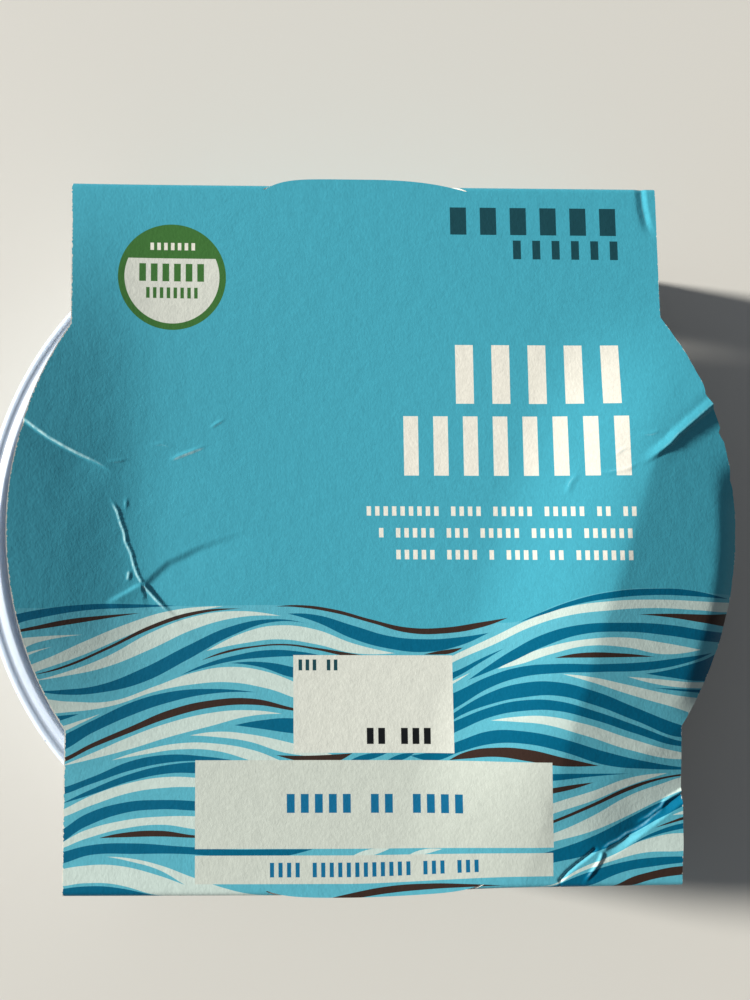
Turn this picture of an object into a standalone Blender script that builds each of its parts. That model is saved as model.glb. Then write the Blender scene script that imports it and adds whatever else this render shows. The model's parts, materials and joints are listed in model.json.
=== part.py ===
"""A shut deli tub in a printed card sleeve.

A round, tapered plastic tub with a press-on lid sits in an open-ended band of
folded carton board. Metres, +Z up, +X to the right of the print, +Y to its top.
The origin is the middle of the sleeve's base, on the surface it stands on.
"""
import math

import bmesh
import bpy
from mathutils import Vector

MM = 0.001

# Driving dimensions of the sleeve.
SLEEVE_DEPTH = 116.0 * MM      # front fold to back fold, outside
SLEEVE_WIDTH = 99.2 * MM       # between the straight cut edges
SLEEVE_HEIGHT = 38.0 * MM      # outside
BOARD = 0.5 * MM               # thickness of the carton board
FOLD_RADIUS = 1.0 * MM         # outside of every fold
LEFT_EAR_RADIUS = 59.8 * MM    # round side flaps
RIGHT_EAR_RADIUS = 60.8 * MM
SKEW = -0.0177                 # the blank folded about a degree out of square
TONGUE_HALF = 17.0 * MM        # round tongues carry the top on over the lid's edge
TONGUE_DEPTH = 2.1 * MM        # measured from the start of the fold
SLOT_HALF = 18.0 * MM          # slots in the walls below the tongues
SLOT_DEPTH = 4.6 * MM
LAP_OUTER_END = 20.0 * MM      # where the outer base panel stops
LAP_INNER_END = 4.0 * MM       # where the glue flap above it stops
LAP_GAP = 0.1 * MM             # glue line

# How the handled board is bent.
LEFT_CURL = 1.2 * MM           # the left flap turns up
LEFT_CURL_START = 30.0 * MM
RIGHT_LIFT = 1.3 * MM          # the board rises to the lid's right edge
RIGHT_SLOPE = 0.14             # and falls away past the ridge there
RIDGE_A = (48.3 * MM, 14.3 * MM)
RIDGE_B = (30.5 * MM, -37.4 * MM)
EAR_BEND_X = 56.5 * MM         # the right flap's tip bends down from here
EAR_BEND_SLOPE = 0.6
EAR_FOLD_POINT = (50.2 * MM, 15.6 * MM)
EAR_FOLD_NORMAL = (0.66, -0.75)
CENTRE_SAG = 0.6 * MM
FRONT_BULGE = 1.3 * MM         # the lid pushes the left of the front panel out

# Driving dimensions of the tub and its lid.
TUB_CENTRE = (-7.1 * MM, -0.6 * MM)    # the tub has slid to the left
LID_RADIUS = 58.0 * MM
RIM_RADIUS = 56.7 * MM
FOOT_RADIUS = 45.0 * MM
TUB_BOTTOM = 1.4 * MM
FIT_GAP = 0.3 * MM
TURNED_STEPS = 48

HALF_WIDTH = SLEEVE_WIDTH / 2
FLAT_HALF = SLEEVE_DEPTH / 2 - FOLD_RADIUS
FOLD_LENGTH = math.pi / 2 * FOLD_RADIUS
WALL_LENGTH = SLEEVE_HEIGHT - 2 * FOLD_RADIUS
BASE_START = FLAT_HALF + 2 * FOLD_LENGTH + WALL_LENGTH
LEFT_JUNCTION = math.sqrt(LEFT_EAR_RADIUS ** 2 - HALF_WIDTH ** 2)
RIGHT_JUNCTION = math.sqrt(RIGHT_EAR_RADIUS ** 2 - HALF_WIDTH ** 2)
RIGHT_EAR_Y = RIGHT_JUNCTION - LEFT_JUNCTION   # both flaps start at the same front row


def clear_scene():
    for item in list(bpy.data.objects):
        bpy.data.objects.remove(item, do_unlink=True)


def material(name, colour, roughness, metallic=0.0):
    made = bpy.data.materials.new(name)
    made.use_nodes = True
    shader = made.node_tree.nodes["Principled BSDF"]
    shader.inputs["Base Color"].default_value = (*colour, 1.0)
    shader.inputs["Roughness"].default_value = roughness
    shader.inputs["Metallic"].default_value = metallic
    return made


def add_object(name, bm, finish):
    mesh = bpy.data.meshes.new(name)
    bm.to_mesh(mesh)
    bm.free()
    mesh.materials.append(finish)
    made = bpy.data.objects.new(name, mesh)
    bpy.context.scene.collection.objects.link(made)
    return made


def smooth_step(value):
    value = min(max(value, 0.0), 1.0)
    return value * value * (3.0 - 2.0 * value)


def spread(start, end, count):
    """count + 1 evenly spaced values from start to end."""
    return [start + (end - start) * i / count for i in range(count + 1)]


def ridge_distance(x, y):
    """How far a point of the top lies to the right of the ridge over the lid's edge."""
    along = Vector(RIDGE_A) - Vector(RIDGE_B)
    across = Vector((along.y, -along.x)).normalized()
    return across.dot(Vector((x, y)) - Vector(RIDGE_B))


def top_height(x, y):
    """Height of the bent top panel over the plane of its folds."""
    curl = max(0.0, (-x - LEFT_CURL_START) / (LEFT_EAR_RADIUS - LEFT_CURL_START))
    curl_window = math.cos(min(abs(y - 12.0 * MM) / (48.0 * MM), 1.0) * math.pi / 2) ** 2
    height = LEFT_CURL * curl ** 2 * curl_window
    rim = math.hypot(x - TUB_CENTRE[0], y - TUB_CENTRE[1]) / (50.0 * MM)
    height -= CENTRE_SAG * max(0.0, 1.0 - rim * rim) ** 2
    beyond = ridge_distance(x, y)
    right_window = smooth_step((40.0 * MM - y) / (24.0 * MM))
    front_fade = 1.0 - 0.75 * smooth_step((-y - 30.0 * MM) / (27.0 * MM))
    height += RIGHT_LIFT * smooth_step(1.0 + beyond / (22.0 * MM)) * right_window * front_fade
    below_ear_fold = (Vector((x, y)) - Vector(EAR_FOLD_POINT)).dot(Vector(EAR_FOLD_NORMAL))
    drop = RIGHT_SLOPE * max(0.0, beyond) * smooth_step(0.3 + below_ear_fold / (6.0 * MM))
    height -= drop * front_fade
    height -= EAR_BEND_SLOPE * max(0.0, x - EAR_BEND_X) * right_window
    return height


def wrap(length):
    """Height and outward reach of the sleeve's outer face, length from the top's middle."""
    if length <= FLAT_HALF:
        return length, SLEEVE_HEIGHT
    length -= FLAT_HALF
    if length <= FOLD_LENGTH:
        angle = length / FOLD_RADIUS
        reach = FLAT_HALF + FOLD_RADIUS * math.sin(angle)
        return reach, SLEEVE_HEIGHT - FOLD_RADIUS * (1.0 - math.cos(angle))
    length -= FOLD_LENGTH
    if length <= WALL_LENGTH:
        return FLAT_HALF + FOLD_RADIUS, SLEEVE_HEIGHT - FOLD_RADIUS - length
    length -= WALL_LENGTH
    if length <= FOLD_LENGTH:
        angle = length / FOLD_RADIUS
        reach = FLAT_HALF + FOLD_RADIUS * math.cos(angle)
        return reach, FOLD_RADIUS * (1.0 - math.sin(angle))
    return FLAT_HALF - (length - FOLD_LENGTH), 0.0


def folded(across, along):
    """Place a point of the flat blank on the folded sleeve; the back is +along."""
    side = 1.0 if along > 0.0 else -1.0
    reach, z = wrap(abs(along))
    y = side * reach
    edge_y = side * min(reach, FLAT_HALF)
    on_base = abs(along) >= BASE_START
    if not on_base:
        z += top_height(across, edge_y) * smooth_step(z / SLEEVE_HEIGHT)
    if side < 0.0 and not on_base:
        pushed = 1.0 - smooth_step((across + 5.0 * MM) / (30.0 * MM))
        near_fold = smooth_step((abs(along) - FLAT_HALF + 8.0 * MM) / (8.0 * MM))
        y -= FRONT_BULGE * pushed * near_fold * smooth_step(z / (0.7 * SLEEVE_HEIGHT))
    if side > 0.0 and on_base:
        climb = smooth_step((LAP_OUTER_END + 4.0 * MM - y) / (3.0 * MM))
        z += climb * (BOARD + LAP_GAP)
    return Vector((across, y + SKEW * across, z))


def column_positions():
    """Lines across the blank, with one at each end of the tongues and slots."""
    outer = spread(SLOT_HALF, HALF_WIDTH, 7)
    left = [-value for value in reversed(outer)]
    return left + spread(-TONGUE_HALF, TONGUE_HALF, 9) + outer


def top_rows():
    near = spread(-FLAT_HALF, -LEFT_JUNCTION, 6)
    middle = spread(-LEFT_JUNCTION, LEFT_JUNCTION, 18)
    far = spread(RIGHT_EAR_Y + RIGHT_JUNCTION, FLAT_HALF, 6)
    return near + middle[1:] + far


def wall_rows(base_rows):
    """Rows from the start of a top fold, down the wall and along the base."""
    fold_end = FLAT_HALF + FOLD_LENGTH
    rows = spread(FLAT_HALF, fold_end, 3)
    rows += spread(fold_end, fold_end + WALL_LENGTH, 3)[1:]
    rows += spread(fold_end + WALL_LENGTH, BASE_START, 3)[1:]
    return rows + base_rows


def add_patch(bm, points):
    """Join a grid of points, rows of columns, with faces."""
    grid = [[bm.verts.new(point) for point in row] for row in points]
    for lower, upper in zip(grid, grid[1:]):
        for i in range(len(lower) - 1):
            bm.faces.new((lower[i], lower[i + 1], upper[i + 1], upper[i]))


def top_point(column, row):
    """The round flaps stretch the columns sideways between their two junctions."""
    radius, middle = LEFT_EAR_RADIUS, 0.0
    if column > 0.0:
        radius, middle = RIGHT_EAR_RADIUS, RIGHT_EAR_Y
    stretch = math.sqrt(max(radius ** 2 - (row - middle) ** 2, HALF_WIDTH ** 2)) / HALF_WIDTH
    return folded(column * stretch, row)


def arc_depth(column, half, depth):
    """How far an arc of this half width and depth bulges at a column."""
    radius = (half ** 2 + depth ** 2) / (2.0 * depth)
    return depth - radius + math.sqrt(radius ** 2 - column ** 2)


def wall_point(column, row, side):
    """Rows beside the slot are squeezed so that they start at its edge."""
    settle = FLAT_HALF + FOLD_LENGTH + WALL_LENGTH / 3
    if abs(column) < SLOT_HALF and row < settle:
        start = FLAT_HALF + arc_depth(column, SLOT_HALF, SLOT_DEPTH)
        row = start + (row - FLAT_HALF) * (settle - start) / (settle - FLAT_HALF)
    return folded(column, side * row)


def tongue_point(column, share, side):
    """The tongue carries the top on, flat, to its round edge."""
    reach = share * arc_depth(column, TONGUE_HALF, TONGUE_DEPTH)
    return folded(column, side * FLAT_HALF) + Vector((0.0, side * reach, 0.0))


def make_sleeve():
    bm = bmesh.new()
    columns = column_positions()
    add_patch(bm, [[top_point(c, r) for c in columns] for r in top_rows()])
    outer_base = spread(BASE_START, BASE_START + FLAT_HALF + LAP_OUTER_END, 3)[1:]
    flat_end = BASE_START + FLAT_HALF - LAP_OUTER_END - 4.0 * MM
    glue_flap = spread(BASE_START, flat_end, 2)[1:]
    glue_flap += spread(flat_end, flat_end + 3.0 * MM, 2)[1:]
    glue_flap += [BASE_START + FLAT_HALF - LAP_INNER_END]
    for side, base_rows in ((-1.0, outer_base), (1.0, glue_flap)):
        rows = wall_rows(base_rows)
        add_patch(bm, [[wall_point(c, r, side) for c in columns] for r in rows])
        tongue = [c for c in columns if abs(c) < (TONGUE_HALF + SLOT_HALF) / 2]
        add_patch(bm, [[tongue_point(c, share, side) for c in tongue] for share in (0.0, 1.0)])
    bmesh.ops.remove_doubles(bm, verts=bm.verts, dist=0.005 * MM)
    bmesh.ops.recalc_face_normals(bm, faces=bm.faces)
    highest = max(bm.faces, key=lambda face: face.calc_center_median().z)
    if highest.normal.z < 0.0:
        bmesh.ops.reverse_faces(bm, faces=bm.faces)
    sleeve = add_object("sleeve", bm, material("printed_board", (0.066, 0.376, 0.470), 0.42))
    wall = sleeve.modifiers.new("board", "SOLIDIFY")
    wall.thickness = BOARD
    wall.offset = -1.0
    wall.use_even_offset = True
    return sleeve


def turn_profile(name, profile, finish):
    """Spin a closed half outline, radius and height, about the tub's axis."""
    bm = bmesh.new()
    centre = Vector((*TUB_CENTRE, 0.0))
    verts = [bm.verts.new(centre + Vector((r, 0.0, z))) for r, z in profile]
    edges = [bm.edges.new(pair) for pair in zip(verts, verts[1:])]
    bmesh.ops.spin(bm, geom=verts + edges, cent=centre, axis=(0.0, 0.0, 1.0),
                   angle=math.tau, steps=TURNED_STEPS, use_merge=True)
    bmesh.ops.remove_doubles(bm, verts=bm.verts, dist=0.005 * MM)
    bmesh.ops.recalc_face_normals(bm, faces=bm.faces)
    made = add_object(name, bm, finish)
    made.data.shade_smooth()
    made.data.set_sharp_from_angle(angle=math.radians(35.0))
    return made


def make_tub():
    """Tapered pot with a foot ring, a stacking ledge and a rim, filled to under the lid."""
    rim_top = 35.4 * MM
    fill = 32.9 * MM
    profile = [
        (0.0, TUB_BOTTOM + 1.0 * MM),
        (FOOT_RADIUS - 4.0 * MM, TUB_BOTTOM + 1.0 * MM),
        (FOOT_RADIUS - 3.0 * MM, TUB_BOTTOM),
        (FOOT_RADIUS, TUB_BOTTOM),
        (FOOT_RADIUS + 1.6 * MM, TUB_BOTTOM + 1.2 * MM),
        (FOOT_RADIUS + 6.4 * MM, 26.6 * MM),
        (FOOT_RADIUS + 8.4 * MM, 27.8 * MM),
        (FOOT_RADIUS + 9.2 * MM, 33.4 * MM),
        (RIM_RADIUS - 0.5 * MM, 33.6 * MM),
        (RIM_RADIUS, 34.1 * MM),
        (RIM_RADIUS, rim_top - 0.5 * MM),
        (RIM_RADIUS - 0.5 * MM, rim_top),
        (53.0 * MM, rim_top),
        (51.7 * MM, fill),
        (0.0, fill),
    ]
    return turn_profile("tub", profile, material("moulded_white", (0.78, 0.82, 0.84), 0.35))


def make_lid():
    """Press-on lid: a sloping skirt, a thin groove, a round bead and a sunk middle."""
    under = 33.2 * MM
    panel = 34.0 * MM
    over_rim = 35.7 * MM
    profile = [
        (0.0, under),
        (51.3 * MM, under),
        (52.6 * MM, over_rim),
        (RIM_RADIUS + FIT_GAP - 0.3 * MM, over_rim),
        (RIM_RADIUS + FIT_GAP, over_rim - 0.4 * MM),
        (RIM_RADIUS + FIT_GAP, 34.5 * MM),
        (LID_RADIUS - 0.3 * MM, 34.4 * MM),
        (LID_RADIUS, 34.8 * MM),
        (57.1 * MM, 36.1 * MM),
        (56.8 * MM, 36.3 * MM),
        (56.3 * MM, 36.3 * MM),
        (56.0 * MM, 36.0 * MM),
        (55.6 * MM, 36.0 * MM),
        (55.1 * MM, 36.5 * MM),
        (54.2 * MM, 36.8 * MM),
        (53.3 * MM, 36.5 * MM),
        (52.6 * MM, 35.6 * MM),
        (51.8 * MM, panel),
        (0.0, panel),
    ]
    return turn_profile("lid", profile, material("moulded_lid", (0.80, 0.85, 0.87), 0.30))


clear_scene()
make_tub()
make_lid()
make_sleeve()
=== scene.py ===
"""A shut deli tub in a printed card sleeve: a moulded polypropylene pot and lid,
slid into an open-ended band of folded, printed and varnished carton board that
has been handled until it creased. Metres, +Z up."""
import json
import math

import bpy
import numpy as np
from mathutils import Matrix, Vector

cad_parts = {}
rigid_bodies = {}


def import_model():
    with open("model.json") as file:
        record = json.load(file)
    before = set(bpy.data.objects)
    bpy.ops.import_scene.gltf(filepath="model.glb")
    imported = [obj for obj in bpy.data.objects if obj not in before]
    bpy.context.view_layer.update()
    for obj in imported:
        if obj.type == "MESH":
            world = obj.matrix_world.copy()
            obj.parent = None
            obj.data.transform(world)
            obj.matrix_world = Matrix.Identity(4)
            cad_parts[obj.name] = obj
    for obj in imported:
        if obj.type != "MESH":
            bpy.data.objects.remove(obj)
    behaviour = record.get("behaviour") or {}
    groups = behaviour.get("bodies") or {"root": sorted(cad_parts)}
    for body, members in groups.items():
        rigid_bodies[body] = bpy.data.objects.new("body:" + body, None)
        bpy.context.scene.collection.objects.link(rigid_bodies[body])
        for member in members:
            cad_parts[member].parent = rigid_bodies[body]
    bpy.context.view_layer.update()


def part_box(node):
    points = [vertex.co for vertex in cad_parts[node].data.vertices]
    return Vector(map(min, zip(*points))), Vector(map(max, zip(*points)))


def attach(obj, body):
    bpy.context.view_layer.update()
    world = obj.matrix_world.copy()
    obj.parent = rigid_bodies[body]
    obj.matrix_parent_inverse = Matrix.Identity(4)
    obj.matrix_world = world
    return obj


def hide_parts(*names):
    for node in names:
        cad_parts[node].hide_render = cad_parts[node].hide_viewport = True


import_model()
MM = 0.001

# --- Tub ---------------------------------------------------------------------
# A thin-walled pot, injection moulded in white polypropylene. It has a foot
# ring, a stacking ledge and a rolled rim that the lid snaps over.

tub_low, tub_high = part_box("tub")
tub_centre = ((tub_low.x + tub_high.x) / 2, (tub_low.y + tub_high.y) / 2)
tub_bottom = tub_low.z
rim_radius = (tub_high.x - tub_low.x) / 2
foot_radius = 45.0 * MM
turned_segments = 192


def linear(hex_colour):
    """An sRGB hex colour as linear red, green, blue and alpha."""
    channels = [int(hex_colour[i:i + 2], 16) / 255 for i in (1, 3, 5)]
    curve = [c / 12.92 if c <= 0.04045 else ((c + 0.055) / 1.055) ** 2.4 for c in channels]
    return (*curve, 1.0)


def add_node(tree, kind, links=(), **settings):
    """Add a node; links pair its input sockets with values or other nodes' outputs."""
    made = tree.nodes.new(kind)
    for name, value in settings.items():
        setattr(made, name, value)
    for socket, source in links:
        if isinstance(source, bpy.types.NodeSocket):
            tree.links.new(source, made.inputs[socket])
        else:
            made.inputs[socket].default_value = source
    return made


def new_material(name):
    """An empty material, its node tree and its principled shader."""
    made = bpy.data.materials.new(name)
    made.use_nodes = True
    return made, made.node_tree, made.node_tree.nodes["Principled BSDF"]


def start_turning(name, radius, height, centre):
    """A ring of edges that later rings are extruded from, open in edit mode."""
    bpy.ops.object.select_all(action="DESELECT")
    bpy.ops.mesh.primitive_circle_add(
        vertices=turned_segments, radius=radius, location=(*centre, height))
    bpy.context.object.name = name
    bpy.ops.object.mode_set(mode="EDIT")
    bpy.ops.mesh.select_all(action="SELECT")


def turn_rings(rings, centre):
    """Extrude the selected ring through each radius and height in turn."""
    radius, height = rings[0]
    for next_radius, next_height in rings[1:]:
        bpy.ops.mesh.extrude_region_move(
            TRANSFORM_OT_translate={"value": (0.0, 0.0, next_height - height)})
        share = next_radius / radius
        bpy.ops.transform.resize(value=(share, share, 1.0),
                                 center_override=(*centre, next_height))
        radius, height = next_radius, next_height


def close_ends():
    """Shut the last ring at its middle, then the first, the only one left open."""
    for end in ("last", "first"):
        if end == "first":
            bpy.ops.mesh.select_all(action="DESELECT")
            bpy.ops.mesh.select_non_manifold()
        bpy.ops.mesh.extrude_region_move()
        bpy.ops.mesh.merge(type="CENTER")


def finish_turning(bevel_width, material):
    """Give a turned shell outward faces, soft corners and its material."""
    bpy.ops.mesh.select_all(action="SELECT")
    bpy.ops.mesh.remove_doubles(threshold=0.001 * MM)
    bpy.ops.mesh.normals_make_consistent(inside=False)
    bpy.ops.object.mode_set(mode="OBJECT")
    made = bpy.context.object
    bpy.ops.object.transform_apply(location=True, rotation=True, scale=True)
    corners = made.modifiers.new("soft corners", "BEVEL")
    corners.width = bevel_width
    corners.segments = 3
    corners.limit_method = "ANGLE"
    corners.angle_limit = math.radians(16.0)
    bpy.ops.object.modifier_apply(modifier=corners.name)
    bpy.ops.object.shade_smooth()
    made.data.materials.append(material)
    return made


def moulded_polypropylene(name, colour, cloudiness):
    """White moulded polypropylene: milky, softly glossy, with a faint flow haze."""
    made, tree, shader = new_material(name)
    place = add_node(tree, "ShaderNodeTexCoord").outputs["Object"]
    flow = add_node(tree, "ShaderNodeTexNoise", (("Vector", place), ("Scale", 60.0), ("Detail", 4.0)))
    haze = add_node(tree, "ShaderNodeMix", (
        ("Factor", flow.outputs["Fac"]), ("A", linear(colour)), ("B", linear(cloudiness))),
        data_type="RGBA")
    grain = add_node(tree, "ShaderNodeTexNoise", (("Vector", place), ("Scale", 2500.0), ("Detail", 2.0)))
    gloss = add_node(tree, "ShaderNodeMapRange", (
        ("Value", flow.outputs["Fac"]), ("To Min", 0.24), ("To Max", 0.38)))
    relief = add_node(tree, "ShaderNodeBump", (
        ("Height", grain.outputs["Fac"]), ("Strength", 0.08), ("Distance", 0.05 * MM)))
    tree.links.new(haze.outputs["Result"], shader.inputs["Base Color"])
    tree.links.new(gloss.outputs["Result"], shader.inputs["Roughness"])
    tree.links.new(relief.outputs["Normal"], shader.inputs["Normal"])
    shader.inputs["IOR"].default_value = 1.49
    shader.inputs["Subsurface Weight"].default_value = 0.5
    shader.inputs["Subsurface Radius"].default_value = (2.4 * MM, 2.7 * MM, 3.0 * MM)
    shader.inputs["Subsurface Scale"].default_value = 1.0
    return made


tub_rings = (
    (foot_radius - 4.0 * MM, tub_bottom + 1.0 * MM),
    (foot_radius - 3.0 * MM, tub_bottom),
    (foot_radius, tub_bottom),
    (foot_radius + 1.6 * MM, tub_bottom + 1.2 * MM),
    (foot_radius + 6.4 * MM, 26.6 * MM),
    (foot_radius + 8.4 * MM, 27.8 * MM),
    (foot_radius + 9.2 * MM, 33.4 * MM),
    (rim_radius - 0.5 * MM, 33.6 * MM),
    (rim_radius, 34.1 * MM),
    (rim_radius, tub_high.z - 0.5 * MM),
    (rim_radius - 0.5 * MM, tub_high.z),
    (rim_radius - 3.7 * MM, tub_high.z),
    (rim_radius - 5.0 * MM, tub_high.z - 2.5 * MM),
)
start_turning("tub_shell", *tub_rings[0], tub_centre)
turn_rings(tub_rings, tub_centre)
close_ends()
tub = finish_turning(0.35 * MM, moulded_polypropylene(
    "tub moulded polypropylene", "#BCC8D4", "#B1BECB"))
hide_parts("tub")
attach(tub, "root")

# --- Lid ---------------------------------------------------------------------
# A press-on lid of the same plastic. Its skirt slopes out over the pot's rim and
# carries short grip ribs; inside it run a thin groove, a round bead and a sunk
# middle with a shallow step.

lid_low, lid_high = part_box("lid")
lid_radius = (lid_high.x - lid_low.x) / 2
panel_height = 34.0 * MM
rib_count = 40
rib_size = (0.5 * MM, 0.4 * MM, 0.8 * MM)

lid_rings = (
    (30.0 * MM, 33.2 * MM),
    (51.3 * MM, 33.2 * MM),
    (52.6 * MM, 35.7 * MM),
    (56.7 * MM, 35.7 * MM),
    (57.0 * MM, 35.3 * MM),
    (57.0 * MM, 34.5 * MM),
    (lid_radius - 0.3 * MM, lid_low.z + 1.2 * MM),
    (lid_radius, lid_low.z + 1.6 * MM),
    (57.1 * MM, 36.1 * MM),
    (56.8 * MM, 36.3 * MM),
    (56.3 * MM, 36.3 * MM),
    (56.0 * MM, 36.2 * MM),
    (55.6 * MM, 36.2 * MM),
    (55.1 * MM, 36.5 * MM),
    (54.2 * MM, lid_high.z),
    (53.3 * MM, 36.5 * MM),
    (52.6 * MM, 35.6 * MM),
    (51.8 * MM, panel_height),
    (44.0 * MM, panel_height),
    (43.0 * MM, panel_height + 0.5 * MM),
    (12.0 * MM, panel_height + 0.5 * MM),
)
start_turning("lid_shell", *lid_rings[0], tub_centre)
turn_rings(lid_rings, tub_centre)
close_ends()
lid_plastic = moulded_polypropylene("lid moulded polypropylene", "#C1CEE4", "#B5C4DC")
lid = finish_turning(0.12 * MM, lid_plastic)
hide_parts("lid")
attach(lid, "root")

for rib in range(rib_count):
    turn = rib * math.tau / rib_count
    out = Vector((math.cos(turn), math.sin(turn), 0.0))
    middle = Vector((*tub_centre, 35.3 * MM)) + out * (lid_radius - 0.62 * MM)
    bpy.ops.object.select_all(action="DESELECT")
    bpy.ops.mesh.primitive_cube_add(size=1.0, location=middle, rotation=(0.0, 0.0, turn))
    bpy.ops.transform.resize(value=rib_size, orient_type="LOCAL")
    piece = bpy.context.object
    piece.name = f"lid_grip_rib_{rib:02d}"
    bpy.ops.object.transform_apply(location=True, rotation=True, scale=True)
    softened = piece.modifiers.new("soft edges", "BEVEL")
    softened.width = 0.12 * MM
    softened.segments = 2
    bpy.ops.object.modifier_apply(modifier=softened.name)
    bpy.ops.object.shade_smooth()
    piece.data.materials.append(lid_plastic)
bpy.ops.object.select_all(action="DESELECT")
for piece in bpy.data.objects:
    if piece.name.startswith("lid_grip_rib_"):
        piece.select_set(True)
        bpy.context.view_layer.objects.active = piece
bpy.ops.object.join()
ribs = bpy.context.object
ribs.name = "lid_grip_ribs"
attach(ribs, "root")

# --- Sleeve ------------------------------------------------------------------
# One die-cut blank of carton board, printed on the outside, folded at four
# creases and glued where the base panels lap. Round flaps stand out at the two
# open ends, and round tongues at the top folds let the lid's edge through.

sleeve_depth = 116.0
sleeve_width = 99.2
sleeve_height = 38.0
board = 0.5
fold_radius = 1.0
left_ear_radius, right_ear_radius = 59.6, 60.1
right_ear_y = 1.36
skew = -0.0177
tongue_half, front_tongue_depth, back_tongue_depth = 17.0, 1.05, 1.9
slot_half, slot_depth = 17.4, 4.6
lap_outer_end, lap_inner_end = 20.0, 4.0
lap_gap, lap_clear, lap_climb = 0.1, 4.0, 3.0
slot_settle = 8.0

half_width = sleeve_width / 2
flat_half = sleeve_depth / 2 - fold_radius
fold_length = math.pi / 2 * fold_radius
wall_length = sleeve_height - 2 * fold_radius
base_start = flat_half + 2 * fold_length + wall_length
left_junction = math.sqrt(left_ear_radius ** 2 - half_width ** 2)
right_junction = math.sqrt(right_ear_radius ** 2 - half_width ** 2)
tub_x, tub_y = tub_centre[0] / MM, tub_centre[1] / MM


def smooth_step(value):
    value = np.clip(value, 0.0, 1.0)
    return value * value * (3.0 - 2.0 * value)


def spread(start, end, count):
    return np.linspace(start, end, count + 1)


def to_path(x, y, path):
    """Distance to a path, on which side (+ on its right), and how far along it."""
    best = np.full(x.shape, 1e9)
    side = np.zeros(x.shape)
    along = np.zeros(x.shape)
    points = np.array(path, float)
    steps = np.hypot(*np.diff(points, axis=0).T)
    total = steps.sum()
    walked = 0.0
    for (ax, ay), (bx, by), step in zip(points, points[1:], steps):
        tx, ty = (bx - ax) / step, (by - ay) / step
        part = np.clip((x - ax) * tx + (y - ay) * ty, 0.0, step)
        away = np.hypot(x - ax - tx * part, y - ay - ty * part)
        nearer = away < best
        across = (x - ax) * ty - (y - ay) * tx
        best = np.where(nearer, away, best)
        side = np.where(nearer, np.sign(across), side)
        along = np.where(nearer, (walked + part) / total, along)
        walked += step
    return best, side, along


# Creases: path over the top in millimetres, height of the crest (a valley if it
# is negative), width of the facet on its left and on its right as the path runs,
# and how it fades at the start and at the end, as shares of its length.
creases = (
    (((-42.9, 4.4), (-41.6, 2.2), (-41.0, 0.2), (-40.4, -1.3), (-40.2, -2.8), (-39.3, -4.6),
      (-38.8, -6.6), (-38.2, -8.2), (-37.4, -9.5)), 0.13, 0.34, 0.30, 0.15, 0.02),
    (((-40.1, 4.8), (-40.2, 3.4), (-40.3, 2.0)), 0.09, 0.35, 0.35, 0.5, 0.5),
    (((-39.5, -7.3), (-39.6, -8.3), (-39.8, -9.4)), 0.12, 0.40, 0.40, 0.4, 0.3),
    (((-37.3, -9.8), (-36.0, -11.2), (-34.8, -12.5), (-33.5, -13.8), (-32.2, -14.8)),
     0.14, 0.42, 0.32, 0.05, 0.5),
    (((-33.4, 10.5), (-30.0, 11.9), (-26.4, 13.3)), 0.13, 0.45, 0.35, 0.3, 0.4),
    (((-26.7, 15.8), (-25.2, 16.8), (-23.6, 17.7)), 0.09, 0.40, 0.30, 0.4, 0.4),
    (((-43.6, 10.3), (-41.5, 10.4), (-39.4, 10.8)), 0.08, 0.40, 0.30, 0.4, 0.5),
    (((-36.8, 13.1), (-34.2, 13.4), (-32.8, 12.9), (-31.4, 12.5)), 0.05, 0.40, 0.30, 0.4, 0.5),
    (((57.8, 20.8), (53.6, 17.3), (51.0, 15.1), (49.6, 13.6), (48.6, 12.8), (46.2, 11.1),
      (44.0, 10.1)), 0.50, 0.70, 1.35, 0.02, 0.40),
    (((44.8, 10.6), (42.5, 9.4), (39.5, 8.8), (36.0, 8.7)), 0.08, 0.55, 0.45, 0.3, 0.5),
    (((40.2, 11.4), (42.0, 12.7), (43.8, 13.2)), 0.06, 0.40, 0.40, 0.4, 0.5),
    (((44.2, 15.2), (46.5, 15.2), (48.8, 15.9)), 0.07, 0.50, 0.40, 0.4, 0.4),
    (((35.0, 9.2), (33.2, 7.0), (32.3, 4.4)), 0.09, 0.80, 0.60, 0.4, 0.5),
    (((50.4, -42.6), (49.2, -43.4), (48.0, -44.0), (46.9, -44.7), (46.3, -45.7), (45.2, -46.4),
      (44.2, -47.2), (43.0, -47.7), (42.0, -48.5)), 0.30, 0.60, 0.34, 0.08, 0.25),
    (((47.6, -45.6), (46.4, -46.2), (44.8, -47.3), (43.6, -48.4), (42.2, -49.2), (40.6, -49.7),
      (39.2, -50.6), (37.6, -51.2), (36.2, -52.2)), 0.26, 0.60, 0.32, 0.15, 0.10),
    (((35.8, -51.6), (34.2, -52.9), (32.4, -54.2), (30.9, -55.4), (29.4, -57.0)),
     -0.30, 0.36, 0.50, 0.10, 0.05),
    (((36.6, -52.2), (36.2, -53.4), (35.6, -54.4), (34.4, -56.0), (33.4, -57.2)),
     0.24, 0.45, 0.40, 0.1, 0.3),
    (((47.3, 57.4), (47.5, 54.5), (48.0, 51.6), (48.9, 48.9)), -0.24, 0.8, 1.2, 0.05, 0.5),
)

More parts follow.
